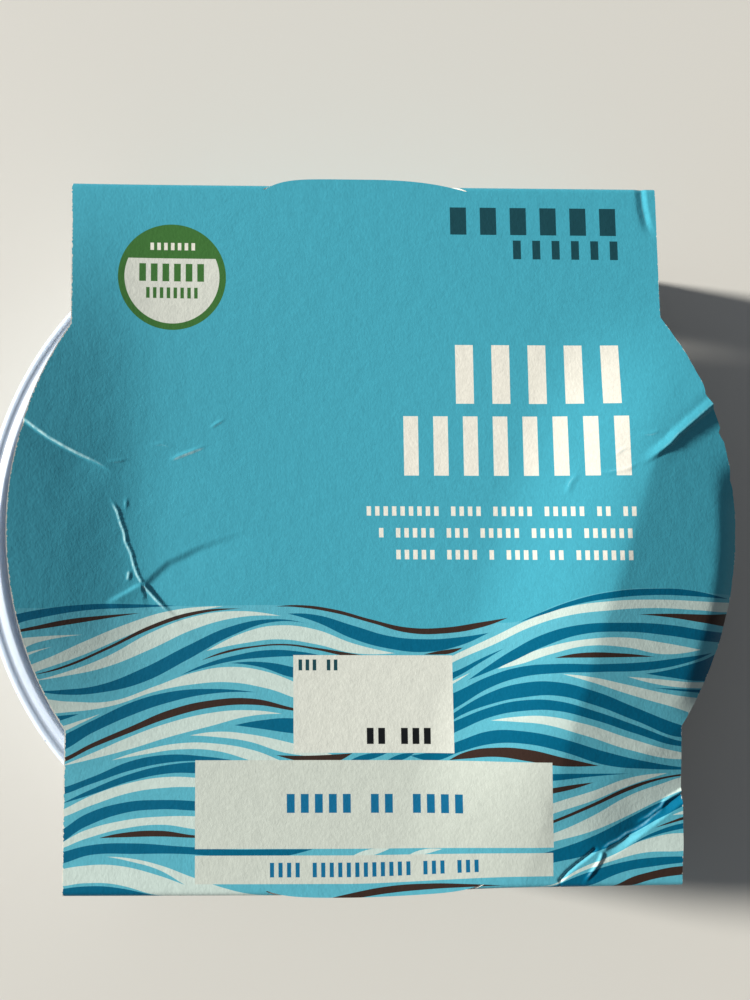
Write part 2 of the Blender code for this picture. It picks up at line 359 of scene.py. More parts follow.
# Ledges: the board steps down to the right of the path, or up if the drop is
# negative, and comes back slowly.
# Path, drop, width of the step, distance to come back, fades as above.
ledges = (
    (((-58.4, 17.8), (-54.8, 15.2), (-53.0, 14.0), (-50.5, 12.6), (-48.5, 11.6), (-45.0, 10.1),
      (-43.0, 8.9), (-41.8, 8.2)), 0.34, 0.30, 5.0, 0.02, 0.4),
    (((-44.0, -12.6), (-40.6, -10.9), (-38.6, -9.7), (-37.6, -9.4)), -0.26, 0.8, 2.4, 0.4, 0.02),
    (((-37.6, -9.6), (-35.6, -7.7), (-33.5, -5.8), (-31.0, -4.7), (-28.5, -3.4), (-26.0, -2.5),
      (-22.5, -1.3), (-17.0, -0.3)), 0.26, 1.3, 6.0, 0.03, 0.7),
)

left_slope, left_hinge, left_softness = 0.165, 39.0, 7.0
left_offset, left_turn_in = 0.15, 0.47
left_middle_y, left_reach, left_fade = 6.0, 19.0, 40.0
hinge_dip, hinge_spread = 0.20, 9.0
hinge_back, hinge_front, hinge_fade = 20.0, 26.0, 14.0
right_lift, right_slope, right_turn_out = 1.8, 0.135, 0.42
lift_spread, lift_back, lift_back_fade = 22.0, 40.0, 24.0
front_loss, front_start, front_fade = 0.75, 30.0, 27.0
ridge_a, ridge_b = (48.3, 14.3), (30.5, -37.4)
rim_bend_width, rim_bend_curve = 3.4, 0.12
rim_bend_back, rim_bend_back_fade = 13.0, 12.0
rim_bend_front, rim_bend_front_fade = 34.0, 14.0
ear_fold_point, ear_fold_normal = (50.2, 15.6), (0.66, -0.75)
ear_fold_start, ear_fold_spread = 0.3, 6.0
dent_start, dent_end, dent_way = (50.4, -43.0), (35.2, -54.1), (-0.808, -0.590)
dent_depth, dent_reach, dent_return = 0.85, 9.0, 1.0
dent_length, dent_fade = 8.0, 11.0
centre_sag, sag_radius = 0.6, 50.0
front_bulge, bulge_height_share = 1.3, 0.7
bulge_end, bulge_fade = 5.0, 30.0
bulge_settle, turn_settle = 8.0, 6.0


def fade_ends(along, start, end):
    """1 along a crease, falling to 0 over a share of its length at each end."""
    return smooth_step(along / max(start, 1e-3)) * smooth_step((1.0 - along) / max(end, 1e-3))


def left_rise(x, y):
    """How far the left flap has turned up from the panel's plane."""
    past = -x - left_hinge
    past = (past + np.sqrt(past * past + left_softness ** 2)) / 2.0
    window = 1.0 - smooth_step((np.abs(y - left_middle_y) - left_reach) / left_fade)
    return left_slope * (past - left_offset) * window


def beyond_ridge(x, y):
    """Distance to the right of the ridge over the lid's edge."""
    along = np.subtract(ridge_a, ridge_b)
    along = along / np.hypot(*along)
    return (x - ridge_b[0]) * along[1] - (y - ridge_b[1]) * along[0]


def right_share(y):
    """1 over most of the right side, less towards the front fold that holds it."""
    return 1.0 - front_loss * smooth_step((-y - front_start) / front_fade)


def right_drop(x, y):
    """How far the right flap hangs below the ridge, and its rim below that."""
    below_fold = (x - ear_fold_point[0]) * ear_fold_normal[0]
    below_fold = below_fold + (y - ear_fold_point[1]) * ear_fold_normal[1]
    folded_down = smooth_step(ear_fold_start + below_fold / ear_fold_spread)
    drop = right_slope * np.clip(beyond_ridge(x, y), 0.0, None) * folded_down
    rim = np.hypot(x, y - right_ear_y) - right_ear_radius + rim_bend_width
    rim = np.clip(rim, 0.0, None) ** 2 * smooth_step((rim_bend_back - y) / rim_bend_back_fade)
    rim = rim * smooth_step((y + rim_bend_front) / rim_bend_front_fade)
    return drop * right_share(y) + rim_bend_curve * rim * (x > 0.0)


def top_height(x, y):
    """Height in millimetres of the bent top panel over the plane of its folds."""
    height = left_rise(x, y)
    rim = np.hypot(x - tub_x, y - tub_y) / sag_radius
    height -= centre_sag * np.clip(1.0 - rim * rim, 0.0, None) ** 2
    lifted = smooth_step(1.0 + beyond_ridge(x, y) / lift_spread)
    window = smooth_step((lift_back - y) / lift_back_fade)
    height += right_lift * lifted * window * right_share(y)
    height -= right_drop(x, y)
    at_hinge = smooth_step((hinge_back - y) / hinge_fade) * smooth_step((y + hinge_front) / hinge_fade)
    height -= hinge_dip * np.exp(-((x + left_hinge) / hinge_spread) ** 2) * at_hinge
    along_dent = (x - dent_start[0]) * dent_way[0] + (y - dent_start[1]) * dent_way[1]
    off_dent = (x - dent_start[0]) * dent_way[1] - (y - dent_start[1]) * dent_way[0]
    pushed = np.where(off_dent > 0.0, 1.0 - off_dent / dent_reach, 1.0 + off_dent / dent_return)
    past_dent = smooth_step((along_dent - dent_length) / dent_fade)
    height -= dent_depth * np.clip(pushed, 0.0, None) * (1.0 - past_dent)
    for path, crest, left, right, start, end in creases:
        away, side, part = to_path(x, y, path)
        width = np.where(side > 0.0, right, left)
        height += crest * fade_ends(part, start, end) * np.clip(1.0 - away / width, 0.0, None)
    for path, step, width, back, start, end in ledges:
        away, side, part = to_path(x, y, path)
        down = smooth_step(away / width) * np.exp(-away / back) * (side > 0.0)
        height -= step * fade_ends(part, start, end) * down
    return height


def wrap(length):
    """Outward reach and height of the sleeve's outer face, length from the top's middle."""
    first = np.clip(length - flat_half, 0.0, fold_length) / fold_radius
    second = np.clip(length - flat_half - fold_length - wall_length, 0.0, fold_length) / fold_radius
    down = np.clip(length - flat_half - fold_length, 0.0, wall_length)
    along_base = np.clip(length - base_start, 0.0, None)
    reach = np.minimum(length, flat_half) + fold_radius * (np.sin(first) + np.cos(second) - 1.0)
    height = sleeve_height - fold_radius * (1.0 - np.cos(first)) - down
    return reach - along_base, height - fold_radius * np.sin(second)


def folded(across, along):
    """Points of the flat blank, in millimetres, placed on the folded sleeve."""
    side = np.where(along > 0.0, 1.0, -1.0)
    reach, z = wrap(np.abs(along))
    y = side * reach
    on_base = np.abs(along) >= base_start - 1e-6
    bent = top_height(across, side * np.minimum(np.abs(along), flat_half))
    z = z + np.where(on_base, 0.0, bent * smooth_step(z / sleeve_height))
    pushed = 1.0 - smooth_step((across + bulge_end) / bulge_fade)
    near_fold = smooth_step((np.abs(along) - flat_half + bulge_settle) / bulge_settle)
    bulge = front_bulge * pushed * near_fold * smooth_step(z / (bulge_height_share * sleeve_height))
    y = y - np.where((side < 0.0) & ~on_base, bulge, 0.0)
    climb = smooth_step((lap_outer_end + lap_clear - y) / lap_climb)
    z = z + np.where((side > 0.0) & on_base, climb * (board + lap_gap), 0.0)
    turned = left_turn_in * left_rise(across, along) + right_turn_out * right_drop(across, along)
    turned = turned * (1.0 - smooth_step((np.abs(along) - flat_half + turn_settle) / turn_settle))
    return np.stack((across + turned, y + skew * across, z), axis=1) * MM


def arc_depth(column, half, depth):
    """How far an arc of this half width and depth bulges at a column."""
    radius = (half ** 2 + depth ** 2) / (2.0 * depth)
    return depth - radius + np.sqrt(np.clip(radius ** 2 - column ** 2, 0.0, None))


def lay_flat(name, columns, rows, place):
    """A grid of board, with its columns and rows placed on the flat blank."""
    bpy.ops.object.select_all(action="DESELECT")
    bpy.ops.mesh.primitive_grid_add(
        x_subdivisions=len(columns) - 1, y_subdivisions=len(rows) - 1, size=2.0)
    made = bpy.context.object
    made.name = name
    corners = np.empty(len(made.data.vertices) * 3)
    made.data.vertices.foreach_get("co", corners)
    corners = corners.reshape(-1, 3)
    column = np.rint((corners[:, 0] + 1.0) / 2.0 * (len(columns) - 1)).astype(int)
    row = np.rint((corners[:, 1] + 1.0) / 2.0 * (len(rows) - 1)).astype(int)
    corners[:, 0], corners[:, 1] = place(columns[column], rows[row])
    made.data.vertices.foreach_set("co", corners.ravel())
    return made


# Knocks in the rim of the right flap: place along it, depth and width. Between
# them the rim has a faint ripple: depth, radians per millimetre, phase.
knocks = ((22.0, 0.45, 0.9), (15.4, 0.6, 0.8), (8.0, 0.35, 1.0))
ripples = ((0.06, 0.9, 0.0), (0.03, 3.1, 1.0))
worn_middle, worn_reach, worn_from = 5.0, 28.0, 0.93


def place_top(column, row):
    """The round flaps stretch the columns sideways between the junctions."""
    radius = np.where(column > 0.0, right_ear_radius, left_ear_radius)
    middle = np.where(column > 0.0, right_ear_y, 0.0)
    chord = np.sqrt(np.clip(radius ** 2 - (row - middle) ** 2, half_width ** 2, None))
    share = column / half_width
    knocked = sum(depth * np.sin(rate * row + start) for depth, rate, start in ripples)
    for place, depth, width in knocks:
        knocked = knocked - depth * np.exp(-((row - place) / width) ** 2)
    at_rim = smooth_step((share - worn_from) / 0.07)
    knocked = knocked * at_rim * (np.abs(row - worn_middle) < worn_reach)
    return share * chord + knocked, row


def place_wall(column, row):
    """Rows beside the slot are squeezed so that they start at its edge."""
    settle = flat_half + fold_length + slot_settle
    length = np.abs(row)
    start = flat_half + arc_depth(column, slot_half, slot_depth)
    squeezed = start + (length - flat_half) * (settle - start) / (settle - flat_half)
    in_slot = (np.abs(column) < slot_half) & (length < settle)
    return column, np.sign(row) * np.where(in_slot, squeezed, length)


def tongue_reach(column, at_back):
    """How far a tongue reaches past the start of the fold; it ends squarest on the left."""
    share = np.clip(np.abs(column) / tongue_half, 0.0, 1.0)
    front = front_tongue_depth * (1.0 - share ** 6)
    back = back_tongue_depth * (1.0 - share ** np.where(column > 0.0, 2.6, 6.0))
    return np.where(at_back, back, front)


def place_tongue(column, share):
    """Rows run from the fold, share 0, to the round edge, share 1 or -1."""
    return column, np.sign(share) * (flat_half + np.abs(share) * tongue_reach(column, share > 0.0))


grid_step = 0.8
side_columns = spread(slot_half, half_width, round((half_width - slot_half) / grid_step))
middle_columns = spread(-tongue_half, tongue_half, round(2 * tongue_half / grid_step))
columns = np.concatenate((-side_columns[::-1], middle_columns, side_columns))
row_stops = sorted((-flat_half, -left_junction, right_ear_y - right_junction,
                    left_junction, right_ear_y + right_junction, flat_half))
top_rows = [-flat_half]
for low, high in zip(row_stops, row_stops[1:]):
    top_rows.extend(spread(low, high, math.ceil((high - low) / grid_step))[1:])
top_rows = np.array(top_rows)
fold_end = flat_half + fold_length
wall_end = fold_end + wall_length
wall_rows = np.concatenate((
    spread(flat_half, fold_end, 6),
    spread(fold_end, fold_end + slot_settle, 6)[1:],
    spread(fold_end + slot_settle, wall_end, 8)[1:],
    spread(wall_end, base_start, 6)[1:],
))
base_flat_end = flat_half - lap_outer_end - lap_clear
outer_rows = spread(base_start, base_start + flat_half + lap_outer_end, 6)[1:]
inner_rows = np.concatenate((
    spread(0.0, base_flat_end, 4)[1:],
    spread(base_flat_end, base_flat_end + lap_climb, 6)[1:],
    spread(base_flat_end + lap_climb, flat_half - lap_inner_end, 3)[1:],
)) + base_start

panels = [lay_flat("sleeve_board", columns, top_rows, place_top)]
front_rows = -np.concatenate((wall_rows, outer_rows))[::-1]
back_rows = np.concatenate((wall_rows, inner_rows))
panels.append(lay_flat("front", columns, front_rows, place_wall))
panels.append(lay_flat("back", columns, back_rows, place_wall))
panels.append(lay_flat("front_tongue", middle_columns, spread(-1.0, -1e-9, 4), place_tongue))
panels.append(lay_flat("back_tongue", middle_columns, spread(1e-9, 1.0, 4), place_tongue))
bpy.ops.object.select_all(action="DESELECT")
for panel in panels:
    panel.select_set(True)
bpy.context.view_layer.objects.active = panels[0]
bpy.ops.object.join()
sleeve = bpy.context.object
bpy.ops.object.mode_set(mode="EDIT")
bpy.ops.mesh.select_all(action="SELECT")
bpy.ops.mesh.remove_doubles(threshold=0.002)
bpy.ops.object.mode_set(mode="OBJECT")


def vertex_places(mesh):
    places = np.empty(len(mesh.vertices) * 3)
    mesh.vertices.foreach_get("co", places)
    return places.reshape(-1, 3)


def select_near_creases(mesh, reach):
    """Select the flat faces whose middle lies within reach of a crease or a ledge."""
    centres = np.empty(len(mesh.polygons) * 3)
    mesh.polygons.foreach_get("center", centres)
    x, y, _ = centres.reshape(-1, 3).T
    near = np.zeros(len(x), bool)
    for path, *_ in (*creases, *ledges, ((dent_start, dent_end),)):
        near |= to_path(x, y, path)[0] < reach
    mesh.vertices.foreach_set("select", np.zeros(len(mesh.vertices), bool))
    mesh.edges.foreach_set("select", np.zeros(len(mesh.edges), bool))
    mesh.polygons.foreach_set("select", near)


for reach in (2.2, 1.2):
    select_near_creases(sleeve.data, reach)
    bpy.ops.object.mode_set(mode="EDIT")
    bpy.ops.mesh.select_mode(type="FACE")
    bpy.ops.mesh.subdivide(number_cuts=1, ngon=False)
    bpy.ops.object.mode_set(mode="OBJECT")

flat = vertex_places(sleeve.data)
loops = np.empty(len(sleeve.data.loops), int)
sleeve.data.loops.foreach_get("vertex_index", loops)
while sleeve.data.uv_layers:
    sleeve.data.uv_layers.remove(sleeve.data.uv_layers[0])
blank_map = sleeve.data.uv_layers.new(name="flat blank")
blank_map.data.foreach_set("uv", flat[loops][:, :2].ravel())
# Along the sharp creases a pale line is painted, mostly a painted highlight with
# some cracked ink in it; how far is kept on the mesh. The line lies a little to
# the right of the crest, and most on the middling creases.
shine_line_off, shine_line_width = 0.2, 0.34
shine_line_most, shine_line_least = 0.75, 0.28
shine_and_crack = np.zeros(len(flat))
for path, crest, _, _, start, end in creases:
    away, side, part = to_path(flat[:, 0], flat[:, 1], path)
    line = np.clip(1.0 - np.abs(away * side - shine_line_off) / shine_line_width, 0.0, None)
    share = shine_line_most if 0.1 < crest < 0.2 else shine_line_least
    shine_and_crack = np.maximum(shine_and_crack, fade_ends(part, start, end) * line * share)
# The first ledge carries the painted highlight line at full strength.
path, *_, start, end = ledges[0]
away, _, part = to_path(flat[:, 0], flat[:, 1], path)
line = np.clip(1.0 - away / shine_line_width, 0.0, None)
shine_and_crack = np.maximum(shine_and_crack, fade_ends(part, start, end) * line)
shine_and_crack_map = sleeve.data.attributes.new(name="painted crease highlight and cracked ink", type="FLOAT", domain="POINT")
shine_and_crack_map.data.foreach_set("value", shine_and_crack)
# A tongue carries on straight past the fold instead of turning down with it.
beyond_fold = np.clip(np.abs(flat[:, 1]) - flat_half, 0.0, None)
on_tongue = beyond_fold <= tongue_reach(flat[:, 0], flat[:, 1] > 0.0) + 1e-3
on_tongue &= (np.abs(flat[:, 0]) <= tongue_half + 1e-3) & (beyond_fold > 1e-4)
straight = np.where(on_tongue, np.sign(flat[:, 1]) * flat_half, flat[:, 1])
shape = folded(flat[:, 0], straight)
shape[:, 1] += np.where(on_tongue, np.sign(flat[:, 1]) * beyond_fold * MM, 0.0)
sleeve.data.vertices.foreach_set("co", shape.ravel())
sleeve.data.update()
wall = sleeve.modifiers.new("board thickness", "SOLIDIFY")
wall.thickness = board * MM
wall.offset = -1.0
wall.material_offset = 1
wall.material_offset_rim = 2


# The print. Distances are millimetres on the flat blank, x across and y up it.
inks = {
    "sky": "#47A8BF",
    "shallow": "#5CB3C8",
    "deep": "#006385",
    "foam": "#CBDDD8",
    "bark": "#3B2B25",
    "leaf": "#3F7236",
    "label": "#D9DDD5",
    "panel": "#CCD4CC",
    "slate": "#1B4852",
    "chalk": "#ECEAE0",
    "stamp": "#15181B",
    "note": "#146C98",
}

# Swooshes: ink, then stations along each one, of x, top edge and bottom edge.
swooshes = (
    ("shallow", (-62, -15.0, -96), (-52, -13.4, -96), (-42, -12.9, -96), (-32, -13.3, -96),
     (-24, -13.2, -96), (-14, -13.2, -96), (-6, -14.0, -96), (2, -16.2, -96), (10, -17.0, -96),
     (18, -15.9, -96), (24, -15.6, -96), (30, -13.0, -96), (37, -10.9, -96), (46, -10.1, -96),
     (54, -10.8, -96), (62, -13.0, -96)),
    ("deep", (-61, -15.2, -16.6), (-55, -13.9, -15.3), (-47, -13.0, -14.0), (-38, -13.0, -13.6),
     (-31.4, -13.3, -13.3)),
    ("bark", (-60, -17.3, -17.6), (-55, -16.4, -17.0), (-50, -15.4, -16.3), (-44, -14.8, -15.4),
     (-37.4, -14.4, -14.4)),
    ("foam", (-58, -18.4, -20.2), (-54, -18.0, -18.9), (-46.8, -17.8, -17.8)),
    ("foam", (-57.5, -21.0, -21.8), (-55, -20.3, -20.7), (-51.6, -19.6, -19.6)),
    ("foam", (-57.5, -23.1, -24.4), (-53, -21.6, -23.1), (-47, -19.0, -21.1), (-40, -16.2, -18.2),
     (-33, -14.1, -15.4), (-24, -13.3, -13.3)),
    ("bark", (-55.6, -24.2, -24.2), (-50, -22.7, -23.1), (-43, -19.8, -20.3), (-36, -16.4, -17.1),
     (-29, -14.2, -14.8), (-21, -13.7, -13.7)),
    ("foam", (-55.2, -25.1, -25.1), (-50, -23.8, -24.4), (-43, -21.3, -23.0), (-36, -17.6, -20.3),
     (-29, -15.0, -17.1), (-22, -14.1, -15.2), (-14.6, -14.9, -14.9)),
    ("deep", (-54.5, -26.6, -26.6), (-50, -26.5, -27.3), (-44, -25.8, -27.1), (-37, -23.2, -25.5),
     (-30, -19.7, -22.0), (-23, -16.6, -18.2), (-16, -15.4, -15.9), (-10, -16.2, -16.2)),
    ("foam", (-55, -27.9, -30.2), (-49, -28.4, -30.1), (-42, -28.4, -29.2), (-35, -26.1, -27.0),
     (-29, -24.0, -25.9), (-23, -23.1, -25.6), (-17, -23.9, -26.6), (-10, -26.6, -28.6), (-6, -28, -28)),
    ("deep", (-54, -31.2, -32.2), (-51, -30.7, -31.6), (-47.2, -30.4, -30.4)),
    ("foam", (-50.5, -32.4, -33.3), (-47, -31.4, -31.9), (-43.8, -30.4, -30.4)),
    ("deep", (-51, -34.2, -36.4), (-45, -31.4, -33.4), (-39, -28.7, -30.8), (-33, -27.1, -28.8),
     (-26, -26.6, -27.4), (-18.4, -27.2, -27.2)),
    ("bark", (-51, -37.8, -38.4), (-45, -35.0, -35.8), (-39, -32.5, -33.5), (-33, -30.0, -31.3),
     (-26, -28.4, -29.6), (-19, -28.2, -29.2), (-13, -29.6, -30.1), (-6, -31, -31)),
    ("foam", (-50.5, -38.8, -38.8), (-45, -36.6, -37.6), (-39, -34.1, -36.1), (-33, -32.0, -34.3),
     (-26, -30.4, -32.5), (-20, -30.0, -31.0), (-14.5, -30.6, -30.6)),
    ("deep", (-22.4, -32.4, -32.4), (-18, -31.6, -33.0), (-13, -31.3, -33.7), (-5, -32.8, -34.2),
     (0, -34, -34)),
    ("foam", (-29.6, -34.0, -34.0), (-25, -33.4, -34.3), (-20, -33.8, -35.0), (-14, -35.0, -36.8),
     (-5, -37.5, -37.5)),
    ("foam", (-42.2, -37.9, -37.9), (-37, -36.3, -37.0), (-31, -35.2, -36.2), (-25, -35.3, -36.5),
     (-19, -36.4, -38.2), (-12, -39, -40)),
    ("deep", (-51, -42.4, -43.4), (-45, -40.4, -41.5), (-39, -38.0, -39.5), (-33, -37.0, -38.3),
     (-27, -37.3, -38.0), (-21.4, -38.1, -38.1)),
    ("deep", (-50, -44.7, -44.7), (-45, -42.3, -43.2), (-39, -40.0, -41.2), (-33, -38.6, -40.0),
     (-26, -38.2, -39.9), (-20, -39, -39)),
    ("foam", (-51, -46.0, -47.0), (-45, -43.3, -44.9), (-39, -41.4, -43.0), (-33, -40.5, -42.2),
     (-26, -40.8, -42.0), (-20, -41, -41)),
    ("deep", (-51, -49.4, -51.0), (-46, -46.3, -48.3), (-40, -44.5, -46.2), (-34, -44.1, -45.6),
     (-27, -44.4, -45.8), (-20, -45, -45)),
    ("foam", (-51, -51.0, -51.6), (-46, -48.8, -50.1), (-40, -47.3, -48.6), (-34, -46.7, -48.0),
     (-27, -46.8, -48.8), (-20, -48, -48)),
    ("bark", (-44, -50.0, -50.0), (-40, -49.2, -49.9), (-34, -48.9, -49.8), (-28.6, -49.6, -50.0),
     (-20, -50, -50)),
    ("deep", (-51, -52.1, -53.4), (-45, -50.9, -52.2), (-38, -50.7, -52.1), (-31, -51.1, -52.1),
     (-23, -51.5, -52.5), (-16, -51.5, -52.6), (-9.6, -51.5, -51.5)),
    ("foam", (-51, -54.2, -56.2), (-46, -53.5, -55.8), (-41, -53.5, -56.0), (-35, -54.6, -57.6),
     (-29, -56.4, -59.4), (-22, -58.6, -61.0), (-14, -61, -61)),
    ("foam", (-42.8, -52.4, -52.4), (-39, -52.6, -53.0), (-34, -53.5, -54.2), (-29, -55.0, -56.6),
     (-22, -57.0, -59.0), (-15, -58.4, -60.4), (-8, -60, -60)),
    ("deep", (-51, -56.8, -58.2), (-46, -56.2, -58.0), (-41, -56.4, -58.6), (-34, -58.0, -60.6),
     (-27, -60.6, -62.6), (-20, -63, -63)),
    ("bark", (-15.9, -13.4, -13.4), (-12, -13.1, -13.5), (-6, -13.8, -14.4), (0, -15.4, -16.0),
     (6, -16.7, -17.6), (12, -16.7, -17.7), (18, -15.8, -16.7), (22.6, -15.0, -15.0)),
    ("deep", (-13.8, -14.5, -14.5), (-9, -14.7, -15.9), (-3, -16.4, -18.6), (3, -18.1, -20.2),
     (9, -18.6, -20.7), (14, -18.3, -19.8), (19.3, -17.5, -17.5)),
    ("foam", (-27, -20.6, -20.6), (-20, -17.3, -19.2), (-15, -16.4, -18.7), (-9, -17.1, -19.5),
     (-3, -19.3, -20.9), (4, -20.9, -20.9)),
    ("bark", (-28, -22.2, -22.2), (-24, -20.6, -21.0), (-19, -19.7, -20.0), (-14, -19.4, -19.7),
     (-9, -20.0, -20.4), (-4, -20.8, -21.4), (1, -21.6, -21.6)),
    ("deep", (-31.2, -24.5, -24.5), (-27, -22.6, -23.2), (-22, -21.2, -22.1), (-17, -20.4, -21.6),
     (-12, -20.6, -21.4), (-7.6, -21.4, -21.4)),
    ("deep", (-23.2, -22.5, -22.5), (-18, -22.3, -23.2), (-13, -23.1, -24.8), (-7, -25, -25)),
    ("bark", (8.4, -21.1, -21.1), (11, -20.5, -21.1), (13, -20.2, -20.9), (15.1, -19.9, -19.9)),
    ("foam", (10, -22.8, -24.0), (14, -20.9, -22.0), (20, -18.1, -19.4), (26, -15.2, -16.5),
     (32, -13.2, -14.6), (39, -12.2, -13.7), (46, -12.0, -13.4), (53, -12.3, -13.8), (60, -12.9, -14.3)),
    ("deep", (23.6, -16.0, -16.0), (28, -14.0, -14.5), (33, -12.1, -12.9), (39, -10.7, -11.8),
     (46, -10.2, -11.3), (52, -10.5, -11.5), (58.5, -12.1, -12.1)),
    ("bark", (43, -14.4, -14.4), (48, -14.3, -14.9), (54, -14.5, -15.9), (60, -14.8, -16.9)),
    ("deep", (10, -25.0, -26.2), (14, -23.6, -24.6), (18, -21.6, -22.2), (21.8, -19.9, -19.9)),
    ("foam", (10, -26.8, -27.4), (13.2, -25.3, -25.8), (16.2, -23.9, -23.9)),
    ("deep", (15.6, -25.2, -25.2), (19, -22.8, -23.8), (23, -20.2, -22.0), (28, -17.6, -19.6),
     (34, -16.0, -17.6), (41, -15.7, -17.2), (48, -16.1, -17.9), (54, -17.1, -18.9), (60, -18.2, -19.6)),
    ("foam", (20.4, -23.3, -23.3), (24, -21.3, -22.5), (29, -19.5, -20.8), (35, -18.3, -19.4),
     (41, -18.1, -19.7), (47, -19.0, -20.9), (53.4, -20.3, -20.3)),
    ("bark", (29.4, -21.4, -21.4), (34, -20.5, -21.3), (40, -20.6, -21.3), (45.8, -21.3, -21.3)),
    ("deep", (10, -28.6, -31.6), (14, -26.9, -29.4), (19, -24.5, -26.4), (24, -22.9, -24.6),
     (30, -22.3, -23.8), (37, -22.3, -23.6), (44, -22.1, -23.5), (50, -21.5, -22.6),
     (55.4, -20.9, -20.9)),
    ("deep", (10, -32.6, -33.6), (14, -29.9, -31.0), (19, -27.1, -29.0), (24, -25.5, -27.8),
     (30, -25.2, -27.4), (36, -26.7, -29.0), (42, -29.3, -31.5), (50, -32.6, -34.5)),
    ("deep", (10, -33.2, -35.0), (14, -31.4, -33.2), (19, -29.4, -31.0), (24, -28.2, -29.9),
     (30, -28.2, -29.8), (36, -29.9, -31.4), (42, -32.2, -33.6), (50, -35.2, -36.0)),
    ("foam", (19, -31.5, -31.5), (23, -30.8, -31.6), (28, -30.6, -32.0), (34, -31.8, -33.7),
     (41, -34.3, -36.2), (50, -37.0, -38.1)),
    ("deep", (10, -36.4, -38.0), (14, -34.8, -36.6), (19, -33.1, -35.2), (24, -33.0, -35.0),
     (30, -34.0, -36.1), (37, -36.3, -38.5), (44, -38.2, -39.4), (51, -39.5, -39.8)),
    ("bark", (12.2, -37.9, -37.9), (15, -36.5, -37.6), (20, -35.7, -37.2), (25, -35.9, -37.8),
     (30, -37.0, -38.5), (36.2, -38.6, -38.6)),
    ("deep", (24, -40, -41), (29, -39.7, -40.8), (35, -39.8, -40.3), (41.4, -40.0, -40.0)),
    ("bark", (24, -42.6, -43.6), (29, -41.9, -42.8), (32, -41.5, -42.2), (35.3, -41.2, -41.2)),
    ("foam", (24, -46.0, -47.8), (29, -44.3, -46.0), (35, -42.6, -44.2), (41, -40.7, -42.0),
     (47.4, -40.2, -40.2)),
    ("bark", (24, -48.8, -49.2), (29, -47.0, -47.5), (35, -44.6, -45.2), (41, -42.1, -42.8),
     (46, -40.9, -41.3), (51, -40.4, -40.7)),
    ("foam", (26, -50.0, -51.2), (29, -49.1, -50.5), (35, -46.6, -49.0), (41, -43.6, -46.8),
     (46, -42.0, -44.6), (51, -40.9, -42.7)),
    ("deep", (24, -53.0, -54.6), (29, -51.8, -53.8), (35, -49.8, -52.5), (41, -47.2, -49.9),
     (46, -45.0, -47.2), (51, -43.5, -44.9)),
    ("foam", (47.7, -46.8, -46.8), (49, -46.3, -46.7), (51, -45.8, -46.7)),
    ("bark", (44.7, -48.8, -48.8), (47, -47.9, -48.2), (51, -46.8, -47.3)),
    ("deep", (41, -51.3, -51.3), (45, -49.3, -49.9), (51, -47.9, -48.7)),
    ("foam", (28, -57.4, -57.6), (33, -54.8, -55.4), (38, -52.9, -53.8), (43, -50.6, -52.6),
     (51, -49.7, -52.2)),
    ("deep", (24, -60.0, -62.0), (30, -57.0, -59.4), (35, -55.2, -57.4), (40, -53.9, -55.5),
     (45, -53.3, -54.7), (51, -53.3, -54.1)),
    ("bark", (36, -59.6, -59.6), (40, -56.9, -58.3), (44, -55.6, -56.9), (51, -54.7, -55.9)),
    ("deep", (44, -24.0, -24.0), (48, -23.4, -24.7), (53, -22.2, -25.5), (60, -20.5, -25.8)),
    ("foam", (41, -24.4, -24.4), (46, -24.9, -25.8), (52, -25.6, -26.6), (60, -26.0, -27.2)),
    ("foam", (30.6, -23.9, -23.9), (35, -24.3, -25.1), (41, -25.7, -27.2), (47, -27.2, -29.1),
     (56, -29.0, -31.5)),
    ("deep", (45, -26.3, -26.3), (50, -26.6, -27.0), (58, -27.4, -28.0)),
    ("bark", (-15.8, -37.1, -37.1), (-11, -37.2, -38.2), (-6, -37.0, -38.2), (-3.2, -36.8, -36.8)),
    ("deep", (-3.8, -38.0, -38.0), (-1.2, -37.0, -38.0), (2.4, -36.8, -36.8)),
    ("deep", (2.2, -38.0, -38.0), (4.4, -37.0, -38.0), (6.8, -36.8, -36.8)),
    ("deep", (8.0, -38.0, -38.0), (10.2, -37.0, -38.0), (12.6, -36.8, -36.8)),
    ("foam", (-4.0, -52.6, -52.6), (-1.0, -51.6, -52.5), (2.6, -51.5, -51.5)),
    ("foam", (5.0, -52.6, -52.6), (7.6, -51.7, -52.4), (11.0, -51.6, -51.6)),
    ("bark", (-9.6, -58.8, -58.8), (-4, -57.4, -58.3), (2, -56.5, -57.6), (9, -56.4, -57.3),
     (15, -56.8, -57.3), (21, -57.3, -57.3)),
)

# The front panel carries the waves on below the fold, then ends in plain colour.
front_inks = ("deep", "foam", "deep", "bark", "foam", "deep", "foam", "deep", "bark", "deep")
front_swooshes = []
for band, ink in enumerate(front_inks):
    thickness = 0.9 if ink == "bark" else 2.1
    start = -62.0 + 9.0 * (band % 3)
    length = 78.0 + 14.0 * math.sin(2.1 * band)
    stations = []
    for share in (0.0, 0.2, 0.4, 0.6, 0.8, 1.0):
        x = start + share * length
        middle = -61.5 - 3.0 * band + 1.8 * math.sin(x / 14.0 + 0.9 * band)
        half = thickness / 2 * math.sin(math.pi * share) ** 0.7
        stations.append((x, middle + half, middle - half))
    front_swooshes.append((ink, *stations))

board_print, tree, shader = new_material("coated carton board, printed and varnished")
blank = add_node(tree, "ShaderNodeUVMap", uv_map="flat blank").outputs["UV"]
parts = add_node(tree, "ShaderNodeSeparateXYZ", (("Vector", blank),))
blank_x, blank_y = parts.outputs["X"], parts.outputs["Y"]


def maths(operation, *values, clamp=False):
    """One step of arithmetic between sockets and numbers."""
    made = add_node(tree, "ShaderNodeMath", enumerate(values), operation=operation, use_clamp=clamp)
    return made.outputs["Value"]


# A curve node holds 0 to 1, so heights from -100 to 0 mm are kept in it as shares.
curve_scale = 100.0


